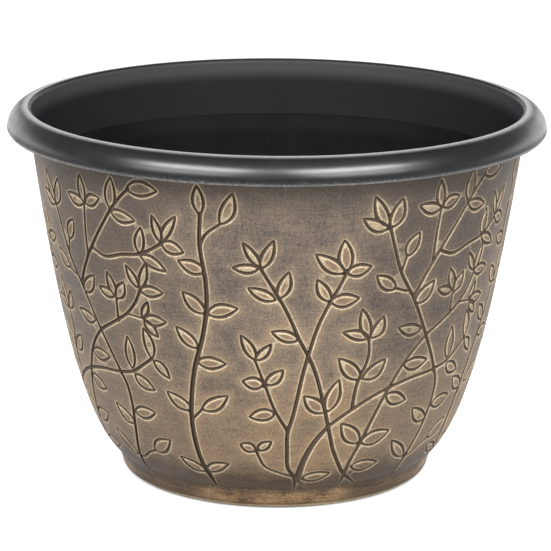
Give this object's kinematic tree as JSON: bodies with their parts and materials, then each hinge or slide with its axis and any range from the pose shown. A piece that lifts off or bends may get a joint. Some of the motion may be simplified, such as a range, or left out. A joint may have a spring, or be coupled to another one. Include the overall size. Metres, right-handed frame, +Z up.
{
  "type": "round planter",
  "caption": "Round bell-shaped plastic planter on a raised foot, with a rolled rim and push-in drain plugs in its floor.",
  "frame": {"origin": "centre of the pot on the ground, in the plane of the foot's flat ring", "axes": "+Z up along the pot's axis of revolution, -Y towards the pictured front, +X to the right of that view"},
  "size_m": [0.38, 0.38, 0.264],
  "materials": {
    "bronze_shell": "dark moulded plastic rubbed with bronze and gold",
    "pewter_rim": "charcoal plastic rubbed with silver, satin",
    "black_plug": "black moulded polyethylene, satin"
  },
  "bodies": {
    "pot": {"pot_body": "bronze_shell", "rolled_rim": "pewter_rim"},
    "plug_1": {"drain_plug_1": "black_plug"},
    "plug_2": {"drain_plug_2": "black_plug"},
    "plug_3": {"drain_plug_3": "black_plug"},
    "plug_4": {"drain_plug_4": "black_plug"}
  },
  "joints": [
    {"name": "plug_1_pull", "type": "slide", "parent": "pot", "child": "plug_1", "axis": [0, 0, 1], "range_m": [0, 0.27]},
    {"name": "plug_2_pull", "type": "slide", "parent": "pot", "child": "plug_2", "axis": [0, 0, 1], "range_m": [0, 0.27]},
    {"name": "plug_3_pull", "type": "slide", "parent": "pot", "child": "plug_3", "axis": [0, 0, 1], "range_m": [0, 0.27]},
    {"name": "plug_4_pull", "type": "slide", "parent": "pot", "child": "plug_4", "axis": [0, 0, 1], "range_m": [0, 0.27]}
  ]
}
